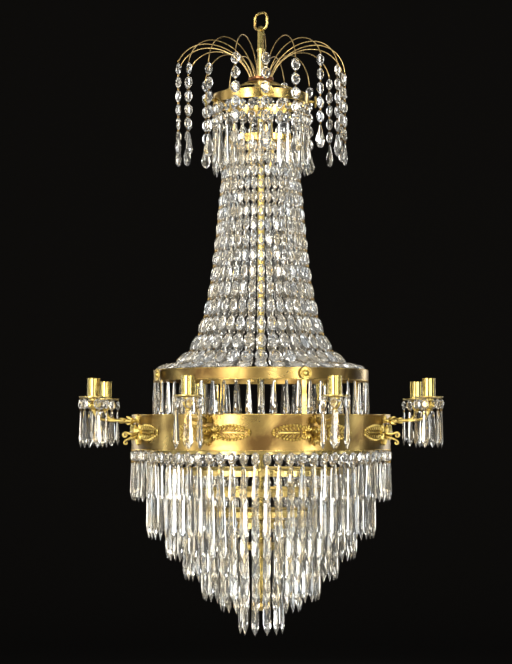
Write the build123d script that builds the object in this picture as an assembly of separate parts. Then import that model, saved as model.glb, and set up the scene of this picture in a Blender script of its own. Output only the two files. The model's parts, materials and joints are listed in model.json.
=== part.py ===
"""Crystal chandelier with a fountain top, a beaded basket and eight candle arms.

Millimetres, +Z up. Z = 0 is the hanging point: the inside top of the link, where a ceiling hook
carries it. The front of the lamp faces -Y. A piece that repeats round the axis is modelled once
at azimuth 0, facing +X, and then turned into place.

The brass frame is a stem with a fountain of wires, a crown ring, a small ring that starts the
bead basket, an upper ring, a broad main band with the arms, and six rings of falling size below.
Every crystal is a separate convex solid with flat facets.
"""
from build123d import *

import os
from math import atan2, cos, degrees, pi, radians, sin

os.makedirs("parts", exist_ok=True)

# ---- fits and gaps -------------------------------------------------------------------------
RUNNING_FIT = 0.05        # radial clearance of a joint that turns
SLIP_FIT = 0.05           # radial clearance of a sleeve, peg or stud that is fixed
HANG_GAP = 0.1            # between a crystal and what it hangs from
PAN_FLOAT = 0.15          # under and over a loose drip pan

# ---- link and stem -------------------------------------------------------------------------
LINK_WIRE_R = 2.5
LINK_INNER_WIDTH = 26.0
LINK_INNER_HEIGHT = 28.0
LINK_CORNER_R = 12.0      # of the wire's centre line
LINK_TURN = 40.0          # degrees that the link's plane is turned from the front
EYE_BAR = 4.5             # width of the metal round the eye
EYE_THICK = 5.0
EYE_SLOT = 36.0           # straight length of the slot below the pivot
STEM_R = 6.5
STEM_BOTTOM = -1137.0
NECK_R = 8.0
NECK_HEIGHT = 5.0
FINIAL_R = 12.5
FINIAL_HEIGHT = 24.0

# ---- fountain ------------------------------------------------------------------------------
COLLAR_TOP = -126.0
COLLAR_R = 25.0
COLLAR_HEIGHT = 7.0
FOUNTAIN_COUNT = 18
FOUNTAIN_FIRST = 3.0      # degrees from the front
FOUNTAIN_WIRE_R = 0.9
FOUNTAIN_ROOT_R = 21.0
FOUNTAIN_SOCKET = 4.0     # depth of a wire's socket in the collar
FOUNTAIN_APEX_R = 107.0
FOUNTAIN_APEX_RISE = 62.0     # of the apex over the collar
FOUNTAIN_TIP_R = 164.0
FOUNTAIN_TIP_FALL = 42.0      # of the tip under the apex
FOUNTAIN_SAGS = (0.0, 9.0, -6.0, 4.0, 13.0, -2.0)   # the wires were bent by hand
CHAIN_COUNT = 5           # beads over each pear
CHAIN_BEAD = (27.0, 18.5, 8.0)    # length, width, thickness
PEAR = (46.0, 21.0, 11.0)

# ---- crown ---------------------------------------------------------------------------------
CROWN_TOP = -161.5
CROWN_R = 94.0
CROWN_WALL = 2.0
CROWN_HEIGHT = 19.0
CROWN_SPOKES = 6
SPOKE_WIRE_R = 1.4
SPOKE_HUB_R = 12.0
SPOKE_HUB_HEIGHT = 8.0
SPOKE_HUB_CONE = 14.0
SPOKE_SEAT = 3.0          # of a spoke's end below the crown's top edge
CROWN_COUNT = 32
CROWN_BEAD_COUNT = 2
CROWN_BEAD = (22.5, 15.5, 7.0)
CROWN_SPEAR = (91.0, 14.0, 7.0)

# ---- rosettes ------------------------------------------------------------------------------
ROSETTE_R = 12.0
ROSETTE_THICK = 3.0
ROSETTE_BOSS_R = 4.5
ROSETTE_BOSS_HEIGHT = 3.5
ROSETTE_STUD_R = 2.2
CROWN_STUD = 12.0         # length of the stud behind a crown rosette
UPPER_STUD = 3.0
CROWN_ROSETTE_FIRST = 6.0     # degrees from the front
UPPER_ROSETTE_FIRST = 22.5

# ---- bead basket ---------------------------------------------------------------------------
BASKET_TOP = -245.0       # top of the small ring that the strands start from
BASKET_R = 70.0
BASKET_WALL = 2.5
BASKET_HEIGHT = 12.0
BASKET_STRANDS = 36
BASKET_ROWS = 16
BASKET_GROWTH = 0.7       # how much longer the last bead is than the first
BASKET_GROWTH_POWER = 1.6
BASKET_BEAD_FILL = 0.94   # of the space between two strands
BASKET_BEAD_ASPECT = 0.62     # widest a bead gets, by its length
BASKET_BEAD_THICK = 0.42  # by its width
BASKET_WAIST_R = 95.0     # pulls the strands' curve inwards high up
BASKET_WAIST_FALL = 263.0
BASKET_SKIRT_R = 93.0     # and low down, before they run out to the upper ring
BASKET_SKIRT_RISE = 3.0

# ---- upper ring ----------------------------------------------------------------------------
UPPER_TOP = -698.0
UPPER_R = 208.0
UPPER_WALL = 2.5
UPPER_HEIGHT = 22.0
UPPER_COUNT = 56          # so that each strap runs down midway between two spears
UPPER_SPEAR = (75.0, 12.0, 7.0)
STRAP_WIDTH = 9.0
STRAP_THICK = 1.5
STRAP_DROP = 4.0          # of its end below the upper ring's top edge
STRAP_FOOT_WIDTH = 17.0
STRAP_FOOT_HEIGHT = 34.0

# ---- main band and its spider --------------------------------------------------------------
BAND_TOP = -784.0
BAND_R = 250.0
BAND_WALL = 2.5
BAND_HEIGHT = 67.5
BAR_WIDTH = 10.0
BAR_THICK = 4.0
BAR_DEPTH = 31.0          # of the bars' top below the band's top
HUB_R = 11.0
HUB_HEIGHT = 9.0
LEAF_LENGTH = 71.0
LEAF_BASE = 10.6          # along the band, from the arm's middle to the leaf
LEAF_HALF_HEIGHT = 16.0
LEAF_HEEL = 10.0          # half height at its root
LEAF_THICK = 3.0
LEAF_TIP_HALF = 1.5

# ---- arms ----------------------------------------------------------------------------------
ARM_COUNT = 8
ARM_FIRST = 22.5          # degrees from the front
ARM_REACH = 88.0          # from the band to the candle's axis
ARM_ROD_R = 3.0
ARM_ROD_DEPTH = 12.0      # of the rod's middle below the band's top
ARM_BEND_R = 24.0
PLATE_WIDTH = 20.0
PLATE_RISE = 10.0         # of the plate's upper point over the rod
PLATE_FALL = 45.0         # of its lower point under the rod
PLATE_THICK = 3.0
SPINE_WIDTH = 9.0
SPINE_DEPTH = 11.0
SPINE_FALL = 36.0
PEG_R = 4.0
PEG_DEPTH = 9.0           # of the peg behind the band's face
NUT_ACROSS = 13.0
NUT_THICK = 5.0
VOLUTE_R = 6.5
VOLUTE_THICK = 6.0
VOLUTE_REACH = 26.0
VOLUTE_FALL = 27.0
TAIL_WIRE_R = 1.8
KNOB_R = 7.0
KNOB_HEIGHT = 21.0
SEAT_R = 9.0
SEAT_THICK = 3.0

# ---- candle cups, drip pans and their drops ------------------------------------------------
CUP_TOP = -717.0
CUP_R = 12.2
CUP_HEIGHT = 36.0
CUP_BORE_R = 11.3
CUP_BORE_DEPTH = 33.0
CUP_STUD_R = 2.5
CUP_STUD_LENGTH = 2.5
SPIGOT_R = 4.0
PAN_R = 27.0
PAN_THICK = 1.5
PAN_FLAT_R = 20.0         # radius of its flat middle
PAN_RISE = 2.0            # of its rim
PAN_LIP = 1.6
PAN_DROPS = 6
PAN_DROP_R = 24.5
PAN_BEAD = (22.5, 15.5, 7.5)
PAN_SPEAR = (71.0, 14.0, 7.5)

# ---- falling tiers -------------------------------------------------------------------------
TIER_1_COUNT = 72
TIER_1_SPEAR = (75.0, 13.0, 7.0)
TIER_BEAD = (22.5, 15.0, 7.5)
TIER_SPEAR = (140.0, 14.5, 7.5)
TIER_HEIGHT = 10.0
TIER_WALL = 2.0
TIER_SPOKES = 4
TIER_SPOKE_WIDTH = 5.0
TIER_SPOKE_THICK = 2.5
# radius, fall of its lower edge below the main band's lower edge, drops
TIERS = (
    (219.0, 6.0, 64),
    (182.0, 47.0, 54),
    (147.5, 86.0, 44),
    (112.5, 126.0, 34),
    (77.5, 148.0, 24),
    (43.0, 191.0, 12),
)

# ---- the shape of the crystals -------------------------------------------------------------
BEAD_CORNER = 0.29        # corner cut of a bead, by its width and length
BEAD_TABLE = 0.55         # size of its flat table, by its outline
SPEAR_SHOULDER = 0.42     # width at the top of a spear, by its belly
SPEAR_BELLY = 0.74        # where a spear is widest, by its length
PEAR_RINGS = ((0.0, 0.16), (0.24, 0.52), (0.62, 1.0), (0.86, 0.72))

# ---- values that follow from the sizes above -----------------------------------------------
PIVOT_Z = -LINK_INNER_HEIGHT - LINK_WIRE_R
CROWN_BOTTOM = CROWN_TOP - CROWN_HEIGHT
BASKET_BOTTOM = BASKET_TOP - BASKET_HEIGHT
UPPER_BOTTOM = UPPER_TOP - UPPER_HEIGHT
BAND_BOTTOM = BAND_TOP - BAND_HEIGHT
BAR_TOP = BAND_TOP - BAR_DEPTH
BAND_INNER_R = BAND_R - BAND_WALL
ROD_Z = BAND_TOP - ARM_ROD_DEPTH
CUP_AXIS_R = BAND_R + ARM_REACH
CUP_BOTTOM = CUP_TOP - CUP_HEIGHT
PAN_Z = CUP_BOTTOM - PAN_FLOAT - PAN_THICK
SEAT_TOP = PAN_Z - PAN_FLOAT
TALL = 3000.0             # longer than anything it cuts


# ---- helpers -------------------------------------------------------------------------------
def from_front(angle):
    """Azimuth in degrees of a direction counted from the front."""
    return angle - 90.0


def around(piece, count, first):
    """Copies of a piece, spaced evenly round the lamp's axis."""
    return [Rot(0, 0, from_front(first) + 360.0 * i / count) * piece for i in range(count)]


def save(name, solids):
    """Write one node: a single solid, or a group of separate ones."""
    shape = solids[0] if len(solids) == 1 else Compound(children=solids)
    export_step(shape, f"parts/{name}.step", write_pcurves=False)


def only(part):
    """The one solid of a finished piece."""
    found = part.solids()
    assert len(found) == 1, f"{len(found)} solids"
    return found[0]


def rod(radius, path):
    """A round bar along a path of straight runs and tangent arcs."""
    section = Plane(origin=path @ 0, z_dir=path % 0) * Circle(radius)
    return sweep(section, path=path)


def ring(outer_r, wall, height, top):
    """A plain hoop of sheet brass."""
    hoop = Cylinder(outer_r, height) - Cylinder(outer_r - wall, height)
    return Pos(0, 0, top - height / 2) * hoop


def sleeve(outer_r, height, top):
    """A sleeve that is fixed on the stem."""
    return ring(outer_r, outer_r - STEM_R - SLIP_FIT, height, top)


def turned(points):
    """A piece turned on a lathe, from its half outline of (radius, height)."""
    outline = Plane.XZ * Polygon(*points, align=None)
    return revolve(outline, Axis.Z)


# ---- crystals ------------------------------------------------------------------------------
def faceted(rings):
    """A closed solid with flat facets between rings of points, or a ring and one point."""
    def facet(*points):
        return Face(Wire.make_polygon([Vector(*p) for p in points], close=True))

    facets = [facet(*end) for end in (rings[0], rings[-1]) if len(end) > 1]
    for upper, lower in zip(rings, rings[1:]):
        for i, corner in enumerate(upper):
            beside = upper[(i + 1) % len(upper)]
            if len(lower) == 1:
                facets.append(facet(corner, beside, lower[0]))
            else:
                facets.append(facet(corner, beside, lower[(i + 1) % len(lower)], lower[i]))
    return Solid(Shell(facets))


def bead(size):
    """An eight-sided bead: it hangs from the origin and faces +X."""
    length, width, thick = size
    y, z = width / 2, length / 2
    y_cut, z_cut = y - BEAD_CORNER * width, z - BEAD_CORNER * length
    outline = [(y, z_cut), (y_cut, z), (-y_cut, z), (-y, z_cut),
               (-y, -z_cut), (-y_cut, -z), (y_cut, -z), (y, -z_cut)]

    def layer(x, scale):
        return [(x, scale * a, scale * b - z) for a, b in outline]

    return faceted([layer(-thick / 2, BEAD_TABLE), layer(0, 1), layer(thick / 2, BEAD_TABLE)])


def lance(size, rings):
    """A pointed six-sided drop, from (share of its length, share of its width) rings."""
    length, width, thick = size

    def layer(down, scale):
        turns = [radians(60 * k) for k in range(6)]
        return [(scale * thick / 2 * sin(t), scale * width / 2 * cos(t), -down * length)
                for t in turns]

    return faceted([layer(*r) for r in rings] + [[(0, 0, -length)]])


def spear(size):
    """A long drop, widest near its point."""
    return lance(size, ((0, SPEAR_SHOULDER), (SPEAR_BELLY, 1)))


def hanging(piece_sizes, top):
    """Beads and a drop that hang one under the other from (0, 0, top): a list of solids."""
    solids = []
    for make, size in piece_sizes:
        length = size[0] - HANG_GAP
        solids.append(Pos(0, 0, top - HANG_GAP) * make((length,) + tuple(size[1:])))
        top -= size[0]
    return solids


def garland(drop, radius, count, first=0.0):
    """A drop's solids, repeated round the axis at a radius."""
    return [copy for solid in drop for copy in around(Pos(radius, 0, 0) * solid, count, first)]


# ---- link and stem -------------------------------------------------------------------------
def hanging_link():
    """A closed wire link, its plane turned from the front."""
    width = LINK_INNER_WIDTH + 2 * LINK_WIRE_R
    height = LINK_INNER_HEIGHT + 2 * LINK_WIRE_R
    path = Plane.XZ * RectangleRounded(width, height, LINK_CORNER_R)
    link = rod(LINK_WIRE_R, path.wire())
    return only(Rot(0, 0, -LINK_TURN) * Pos(0, 0, LINK_WIRE_R - height / 2) * link)


def stem():
    """The stem, from its long eye round the link's wire to its lower end."""
    inner = LINK_WIRE_R + RUNNING_FIT
    outer = inner + EYE_BAR
    foot = EYE_SLOT + NECK_HEIGHT
    slot = Circle(inner) + Pos(0, -EYE_SLOT / 2) * Rectangle(2 * inner, EYE_SLOT)
    plate = Circle(outer) + Pos(0, -foot / 2) * Rectangle(2 * outer, foot) - slot
    eye = extrude(Plane.YZ * plate, EYE_THICK / 2, both=True)
    eye = Rot(0, 0, -LINK_TURN) * Pos(0, 0, PIVOT_Z) * eye
    neck_top = PIVOT_Z - foot + NECK_HEIGHT / 2
    neck = Pos(0, 0, neck_top - NECK_HEIGHT / 2) * Cylinder(NECK_R, NECK_HEIGHT)
    length = neck_top - STEM_BOTTOM
    bar = Pos(0, 0, neck_top - length / 2) * Cylinder(STEM_R, length)
    return only(eye + neck + bar)


def stem_finial():
    """The turned ball nut under the stem."""
    z = STEM_BOTTOM
    ball = Pos(0, 0, z - FINIAL_HEIGHT / 2) * Sphere(FINIAL_R)
    ball &= Pos(0, 0, z - FINIAL_HEIGHT / 2) * Cylinder(FINIAL_R, FINIAL_HEIGHT)
    return only(ball)


# ---- fountain ------------------------------------------------------------------------------
def fountain_path(sag):
    """A wire's centre line from the collar over the apex to its tip."""
    root = Vector(FOUNTAIN_ROOT_R, 0, COLLAR_TOP)
    apex = Vector(FOUNTAIN_APEX_R, 0, COLLAR_TOP + FOUNTAIN_APEX_RISE)
    tip = Vector(FOUNTAIN_TIP_R, 0, apex.Z - FOUNTAIN_TIP_FALL - sag)
    rise = TangentArc(apex, root, tangent=(-1, 0, 0))
    fall = TangentArc(apex, tip, tangent=(1, 0, 0))
    inwards = rise % 1
    stub = Line(root + inwards * FOUNTAIN_SOCKET, root)
    climb = TangentArc(root, apex, tangent=-inwards)
    return Wire([stub, climb, fall]), tip


def fountain():
    """The collar, the wires and the chains of beads that hang from their tips."""
    wires, beads, pears = [], [], []
    chain = [(bead, CHAIN_BEAD)] * CHAIN_COUNT + [(pear, PEAR)]
    for i in range(FOUNTAIN_COUNT):
        path, tip = fountain_path(FOUNTAIN_SAGS[i % len(FOUNTAIN_SAGS)])
        turn = Rot(0, 0, from_front(FOUNTAIN_FIRST) + 360.0 * i / FOUNTAIN_COUNT)
        wires.append(only(turn * rod(FOUNTAIN_WIRE_R, path)))
        drops = hanging(chain, tip.Z - FOUNTAIN_WIRE_R)
        placed = [turn * Pos(tip.X, 0, 0) * drop for drop in drops]
        beads += placed[:-1]
        pears.append(placed[-1])
    return wires, beads, pears


def pear(size):
    """The flat pear-shaped drop at the end of a fountain chain."""
    return lance(size, PEAR_RINGS)


def fountain_collar():
    """The disc that the fountain's wires stand in."""
    disc = sleeve(COLLAR_R, COLLAR_HEIGHT, COLLAR_TOP)
    path, _ = fountain_path(0)
    direction = path % 0
    middle = (path @ 0) + direction * FOUNTAIN_SOCKET
    length = 2 * FOUNTAIN_SOCKET
    socket = Plane(origin=middle, z_dir=direction) * Cylinder(FOUNTAIN_WIRE_R + SLIP_FIT, length)
    return only(disc - around(socket, FOUNTAIN_COUNT, FOUNTAIN_FIRST))


# ---- crown ---------------------------------------------------------------------------------
def crown_spider():
    """A turned hub under the collar, with arched spokes to the inside of the crown ring."""
    top = COLLAR_TOP - COLLAR_HEIGHT
    bore = STEM_R + SLIP_FIT
    waist = top - SPOKE_HUB_HEIGHT
    hub = turned([(bore, top), (SPOKE_HUB_R, top), (SPOKE_HUB_R, waist),
                  (bore + 1, waist - SPOKE_HUB_CONE), (bore, waist - SPOKE_HUB_CONE)])
    start = Vector((bore + SPOKE_HUB_R) / 2, 0, top - SPOKE_HUB_HEIGHT / 2)
    end = Vector(CROWN_R, 0, CROWN_TOP - SPOKE_SEAT)
    arch = TangentArc(start, end, tangent=(1, 0, 0))
    spokes = rod(SPOKE_WIRE_R, arch) & Cylinder(CROWN_R - CROWN_WALL, TALL)
    return only(hub + around(spokes, CROWN_SPOKES, 90))


def rosette(stud, ring_r):
    """A round boss with a scalloped edge on a stud, facing +X and seated on a ring."""
    back = ring_r + stud
    disc = Circle(ROSETTE_R) - PolarLocations(ROSETTE_R, 12) * Circle(ROSETTE_R / 10)
    face = extrude(Plane.YZ.offset(back) * disc, ROSETTE_THICK)
    boss_top = back + ROSETTE_THICK + ROSETTE_BOSS_HEIGHT
    boss = extrude(Plane.YZ.offset(back) * Circle(ROSETTE_BOSS_R), boss_top - back)
    boss = fillet(boss.edges().group_by(Axis.X)[-1], ROSETTE_BOSS_HEIGHT / 2)
    shank = extrude(Plane.YZ.offset(ring_r - 1) * Circle(ROSETTE_STUD_R), stud + 1)
    return only(face + boss + (shank - Cylinder(ring_r, TALL)))


def ring_rosettes():
    """The four rosettes of the crown ring and the four of the upper ring."""
    crown = Pos(0, 0, CROWN_TOP - CROWN_HEIGHT / 2) * rosette(CROWN_STUD, CROWN_R)
    upper = Pos(0, 0, UPPER_TOP - UPPER_HEIGHT / 2) * rosette(UPPER_STUD, UPPER_R)
    return around(crown, 4, CROWN_ROSETTE_FIRST) + around(upper, 4, UPPER_ROSETTE_FIRST)


def crown_drops():
    """Two beads and a spear under each of the crown ring's holes."""
    drop = hanging([(bead, CROWN_BEAD)] * CROWN_BEAD_COUNT + [(spear, CROWN_SPEAR)], CROWN_BOTTOM)
    return garland(drop, CROWN_R - CROWN_WALL / 2, CROWN_COUNT)


# ---- hoops with a hub ----------------------------------------------------------------------
def spoked_hoop(outer_r, wall, height, top, spokes, first):
    """A hoop that is soldered to flat spokes and a sleeve on the stem."""
    hub = sleeve(HUB_R, HUB_HEIGHT, top)
    start, end = (STEM_R + HUB_R) / 2, outer_r - wall / 2
    bar = Box(end - start, TIER_SPOKE_WIDTH, TIER_SPOKE_THICK)
    bar = Pos((start + end) / 2, 0, top - TIER_SPOKE_THICK / 2) * bar
    return only(ring(outer_r, wall, height, top) + hub + around(bar, spokes, first))


# ---- bead basket ---------------------------------------------------------------------------
def basket_curve():
    """The line that every strand follows, as (radius, 0, height)."""
    start = (BASKET_R - BASKET_WALL / 2, 0, BASKET_BOTTOM - HANG_GAP)
    waist = (BASKET_WAIST_R, 0, BASKET_BOTTOM - BASKET_WAIST_FALL)
    skirt = (BASKET_SKIRT_R, 0, UPPER_TOP + BASKET_SKIRT_RISE)
    end = (UPPER_R - UPPER_WALL - HANG_GAP, 0, UPPER_TOP)
    return Bezier(start, waist, skirt, end)


def basket_beads():
    """The rows of graded beads, from the small ring to the upper ring: a list of rows."""
    curve = basket_curve()
    last = BASKET_ROWS - 1
    growth = [1 + BASKET_GROWTH * (i / last) ** BASKET_GROWTH_POWER for i in range(BASKET_ROWS)]
    unit = curve.length / sum(growth)
    rows, done = [], 0.0
    for share in growth:
        upper = curve.position_at(done, PositionMode.LENGTH)
        done += share * unit
        lower = curve.position_at(min(done, curve.length), PositionMode.LENGTH)
        chord = lower - upper
        length = chord.length - HANG_GAP
        spacing = 2 * pi * (upper.X + lower.X) / 2 / BASKET_STRANDS
        width = min(BASKET_BEAD_FILL * spacing, BASKET_BEAD_ASPECT * length)
        lean = degrees(atan2(chord.X, -chord.Z))
        stone = Rot(0, -lean, 0) * bead((length, width, BASKET_BEAD_THICK * width))
        stone = Pos(*upper) * stone
        rows.append(around(stone, BASKET_STRANDS, 0))
    return rows


# ---- upper ring and the posts that carry it ------------------------------------------------
def band_straps():
    """Posts from the inside of the upper ring down to the bars of the main spider."""
    outer = UPPER_R - UPPER_WALL
    half, foot = STRAP_WIDTH / 2, STRAP_FOOT_WIDTH / 2
    knee, top = BAR_TOP + STRAP_FOOT_HEIGHT, UPPER_TOP - STRAP_DROP
    sheet = Polygon((-half, top), (-half, knee), (-foot, BAR_TOP),
                    (foot, BAR_TOP), (half, knee), (half, top), align=None)
    post = extrude(Plane.YZ.offset(outer - 2 * STRAP_THICK) * sheet, 3 * STRAP_THICK)
    post = (post & Cylinder(outer, TALL)) - Cylinder(outer - STRAP_THICK, TALL)
    return around(only(post), 4, UPPER_ROSETTE_FIRST)


# ---- main band -----------------------------------------------------------------------------
def main_band():
    """The broad band, with a hole for each arm's peg."""
    hole = Rot(0, 90, 0) * Cylinder(PEG_R + SLIP_FIT, 4 * BAND_WALL)
    holes = around(Pos(BAND_R, 0, ROD_Z) * hole, ARM_COUNT, ARM_FIRST)
    return only(ring(BAND_R, BAND_WALL, BAND_HEIGHT, BAND_TOP) - holes)


def main_spider():
    """A hub on the stem with one bar to the band behind each arm."""
    hub = sleeve(2 * HUB_R, HUB_HEIGHT, BAR_TOP)
    start = STEM_R + HUB_R
    bar = Box(BAND_R - start, BAR_WIDTH, BAR_THICK)
    bar = Pos((BAND_R + start) / 2, 0, BAR_TOP - BAR_THICK / 2) * bar
    bar &= Cylinder(BAND_INNER_R, TALL)
    return only(hub + around(bar, ARM_COUNT, ARM_FIRST))


def band_leaves():
    """A long palmette leaf on the band at each side of every arm."""
    middle = LEAF_BASE + LEAF_LENGTH / 2
    half = LEAF_LENGTH / 2
    upper = ThreePointArc((-half, LEAF_HEEL), (-half / 3, LEAF_HALF_HEIGHT), (half, LEAF_TIP_HALF))
    lower = ThreePointArc((half, -LEAF_TIP_HALF), (-half / 3, -LEAF_HALF_HEIGHT), (-half, -LEAF_HEEL))
    outline = Wire([upper, Line(upper @ 1, lower @ 0), lower, Line(lower @ 1, upper @ 0)])
    height = BAND_TOP - BAND_HEIGHT / 2
    sheet = Plane(origin=(BAND_R - LEAF_THICK, 0, height), x_dir=(0, 1, 0), z_dir=(1, 0, 0))
    leaf = extrude(sheet * Face(outline), 3 * LEAF_THICK, dir=(1, 0, 0))
    leaf = (leaf & Cylinder(BAND_R + LEAF_THICK, TALL)) - Cylinder(BAND_R, TALL)
    turn = degrees(middle / BAND_R)
    right = Rot(0, 0, turn) * only(leaf)
    left = mirror(right, Plane.XZ)
    return around(right, ARM_COUNT, ARM_FIRST) + around(left, ARM_COUNT, ARM_FIRST)


def arm_nuts():
    """The nuts inside the band that hold the arms."""
    nut = RegularPolygon(NUT_ACROSS / 2, 6, major_radius=False) - Circle(PEG_R + SLIP_FIT)
    face = BAND_INNER_R * cos(NUT_ACROSS / 2 / BAND_INNER_R) - NUT_THICK - SLIP_FIT
    nut = extrude(Plane.YZ.offset(face) * nut, NUT_THICK)
    return around(Pos(0, 0, ROD_Z) * only(nut), ARM_COUNT, ARM_FIRST)


# ---- arms ----------------------------------------------------------------------------------
def arm_plate():
    """The pointed plate on the band and the spine in front of it."""
    half = PLATE_WIDTH / 2
    top, bottom = ROD_Z + PLATE_RISE, ROD_Z - PLATE_FALL
    shape = Polygon((0, top), (-half, ROD_Z), (-half / 2, bottom + PLATE_RISE), (0, bottom),
                    (half / 2, bottom + PLATE_RISE), (half, ROD_Z), align=None)
    plate = extrude(Plane.YZ.offset(BAND_R - 2) * shape, PLATE_THICK + 2)
    spine_top, spine_bottom = ROD_Z + 2 * ARM_ROD_R, ROD_Z - SPINE_FALL
    spine = Box(SPINE_DEPTH, SPINE_WIDTH, spine_top - spine_bottom)
    spine = fillet(spine.edges().filter_by(Axis.Z) + spine.edges().group_by(Axis.X)[-1],
                   SPINE_WIDTH / 4)
    spine = Pos(BAND_R + SPINE_DEPTH / 2, 0, (spine_top + spine_bottom) / 2) * spine
    peg_length = PEG_DEPTH + PLATE_THICK
    peg = Rot(0, 90, 0) * Cylinder(PEG_R, peg_length)
    peg = Pos(BAND_R - PEG_DEPTH + peg_length / 2, 0, ROD_Z) * peg
    return (plate + spine) - Cylinder(BAND_R, TALL) + peg


def arm_scrolls():
    """The round volute and the curled tail under the rod."""
    hub = Vector(BAND_R + VOLUTE_REACH, 0, ROD_Z - VOLUTE_FALL)
    volute = Pos(*hub) * Rot(90, 0, 0) * Cylinder(VOLUTE_R, VOLUTE_THICK)
    neck = Box(VOLUTE_REACH - PLATE_THICK, 2 * TAIL_WIRE_R, 2 * TAIL_WIRE_R)
    neck = Pos(BAND_R + (VOLUTE_REACH + PLATE_THICK) / 2, 0, hub.Z) * neck
    root = Vector(BAND_R + PLATE_THICK, 0, hub.Z - VOLUTE_R / 2)
    knee = hub + Vector(VOLUTE_R / 2, 0, -2 * VOLUTE_R)
    sweep_out = TangentArc(root, knee, tangent=(1, 0, -0.1))
    curl = TangentArc(knee, knee + Vector(-VOLUTE_R, 0, -VOLUTE_R / 2), tangent=sweep_out % 1)
    return volute + neck + rod(TAIL_WIRE_R, Wire([sweep_out, curl]))


def arm():
    """One cast arm, with the seat and spigot that carry the drip pan and the candle cup."""
    root = (BAND_R + PLATE_THICK, 0, ROD_Z)
    corner = (CUP_AXIS_R, 0, ROD_Z)
    top = (CUP_AXIS_R, 0, SEAT_TOP - SEAT_THICK)
    reach = rod(ARM_ROD_R, FilletPolyline(root, corner, top, radius=ARM_BEND_R))
    axis = Pos(CUP_AXIS_R, 0, 0)
    seat = axis * Pos(0, 0, SEAT_TOP - SEAT_THICK / 2) * Cylinder(SEAT_R, SEAT_THICK)
    spigot_length = CUP_BOTTOM - SEAT_TOP
    spigot = axis * Pos(0, 0, SEAT_TOP + spigot_length / 2) * Cylinder(SPIGOT_R, spigot_length)
    stud = axis * Pos(0, 0, CUP_BOTTOM) * Cylinder(CUP_STUD_R, 2 * CUP_STUD_LENGTH)
    knob_top = SEAT_TOP - SEAT_THICK
    knob = turned([(0, knob_top), (KNOB_R * 0.6, knob_top), (KNOB_R, knob_top - KNOB_HEIGHT / 3),
                   (KNOB_R * 0.8, knob_top - KNOB_HEIGHT * 0.7), (0, knob_top - KNOB_HEIGHT)])
    pieces = arm_plate() + arm_scrolls() + reach + seat + spigot + stud + axis * knob
    return only(pieces)


# ---- candle cups and drip pans -------------------------------------------------------------
def candle_cup():
    """A plain cup for a candle, with a hole in its floor for the arm's stud."""
    cup = Pos(0, 0, CUP_TOP - CUP_HEIGHT / 2) * Cylinder(CUP_R, CUP_HEIGHT)
    cup -= Pos(0, 0, CUP_TOP) * Cylinder(CUP_BORE_R, 2 * CUP_BORE_DEPTH)
    cup -= Pos(0, 0, CUP_BOTTOM) * Cylinder(CUP_STUD_R + SLIP_FIT, 2 * CUP_HEIGHT)
    return only(cup)


def drip_pan():
    """The loose pan under a cup, with a raised rim."""
    hole = SPIGOT_R + RUNNING_FIT
    rim_inner = PAN_R - PAN_LIP
    inner_flat = PAN_FLAT_R - PAN_LIP / 2
    section = [(hole, 0), (PAN_FLAT_R, 0), (PAN_R, PAN_RISE), (PAN_R, PAN_RISE + PAN_THICK),
               (rim_inner, PAN_RISE + PAN_THICK), (inner_flat, PAN_THICK), (hole, PAN_THICK)]
    return only(Pos(0, 0, PAN_Z) * turned(section))


def pan_drops():
    """The beads and spears that hang under a drip pan's rim."""
    under = PAN_Z + PAN_RISE * (PAN_DROP_R - PAN_FLAT_R) / (PAN_R - PAN_FLAT_R)
    drop = hanging([(bead, PAN_BEAD), (spear, PAN_SPEAR)], under)
    half_step = 180.0 / PAN_DROPS
    return garland(drop, PAN_DROP_R, PAN_DROPS, 90.0 + half_step)


# ---- falling tiers -------------------------------------------------------------------------
def tier_drops(radius, top, count, long_drop):
    """A garland of a bead and a spear under a ring."""
    drop = hanging([(bead, TIER_BEAD), (spear, long_drop)], top)
    return garland(drop, radius, count, 180.0 / count)


# ---- build and write every node ------------------------------------------------------------
def build_upper_half():
    save("hanging_link", [hanging_link()])
    save("stem", [stem()])
    save("stem_finial", [stem_finial()])
    save("fountain_collar", [fountain_collar()])
    wires, beads, pears = fountain()
    save("fountain_wires", wires)
    save("fountain_beads", beads)
    save("fountain_pears", pears)
    save("crown_spider", [crown_spider()])
    save("crown_ring", [only(ring(CROWN_R, CROWN_WALL, CROWN_HEIGHT, CROWN_TOP))])
    save("crown_drops", crown_drops())
    save("ring_rosettes", ring_rosettes())
    save("basket_ring", [spoked_hoop(BASKET_R, BASKET_WALL, BASKET_HEIGHT, BASKET_TOP, 6, 0)])
    rows = basket_beads()
    thirds = (rows[:6], rows[6:11], rows[11:])
    for name, group in zip(("upper", "middle", "lower"), thirds):
        save(f"basket_beads_{name}", [solid for row in group for solid in row])
    save("upper_ring", [only(ring(UPPER_R, UPPER_WALL, UPPER_HEIGHT, UPPER_TOP))])
    fringe = hanging([(spear, UPPER_SPEAR)], UPPER_BOTTOM)
    save("upper_spears", garland(fringe, UPPER_R - UPPER_WALL / 2, UPPER_COUNT))
    save("band_straps", band_straps())


def build_band_and_tiers():
    save("main_band", [main_band()])
    save("main_spider", [main_spider()])
    save("band_leaves", band_leaves())
    save("arm_nuts", arm_nuts())
    under_band = BAND_R - BAND_WALL / 2
    save("tier_drops_1", tier_drops(under_band, BAND_BOTTOM, TIER_1_COUNT, TIER_1_SPEAR))
    for number, (radius, fall, count) in enumerate(TIERS, start=2):
        bottom = BAND_BOTTOM - fall
        top = bottom + TIER_HEIGHT
        first = 45.0 * (number % 2)
        hoop = spoked_hoop(radius, TIER_WALL, TIER_HEIGHT, top, TIER_SPOKES, first)
        save(f"tier_ring_{number}", [hoop])
        middle = radius - TIER_WALL / 2
        save(f"tier_drops_{number}", tier_drops(middle, bottom, count, TIER_SPEAR))


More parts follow.
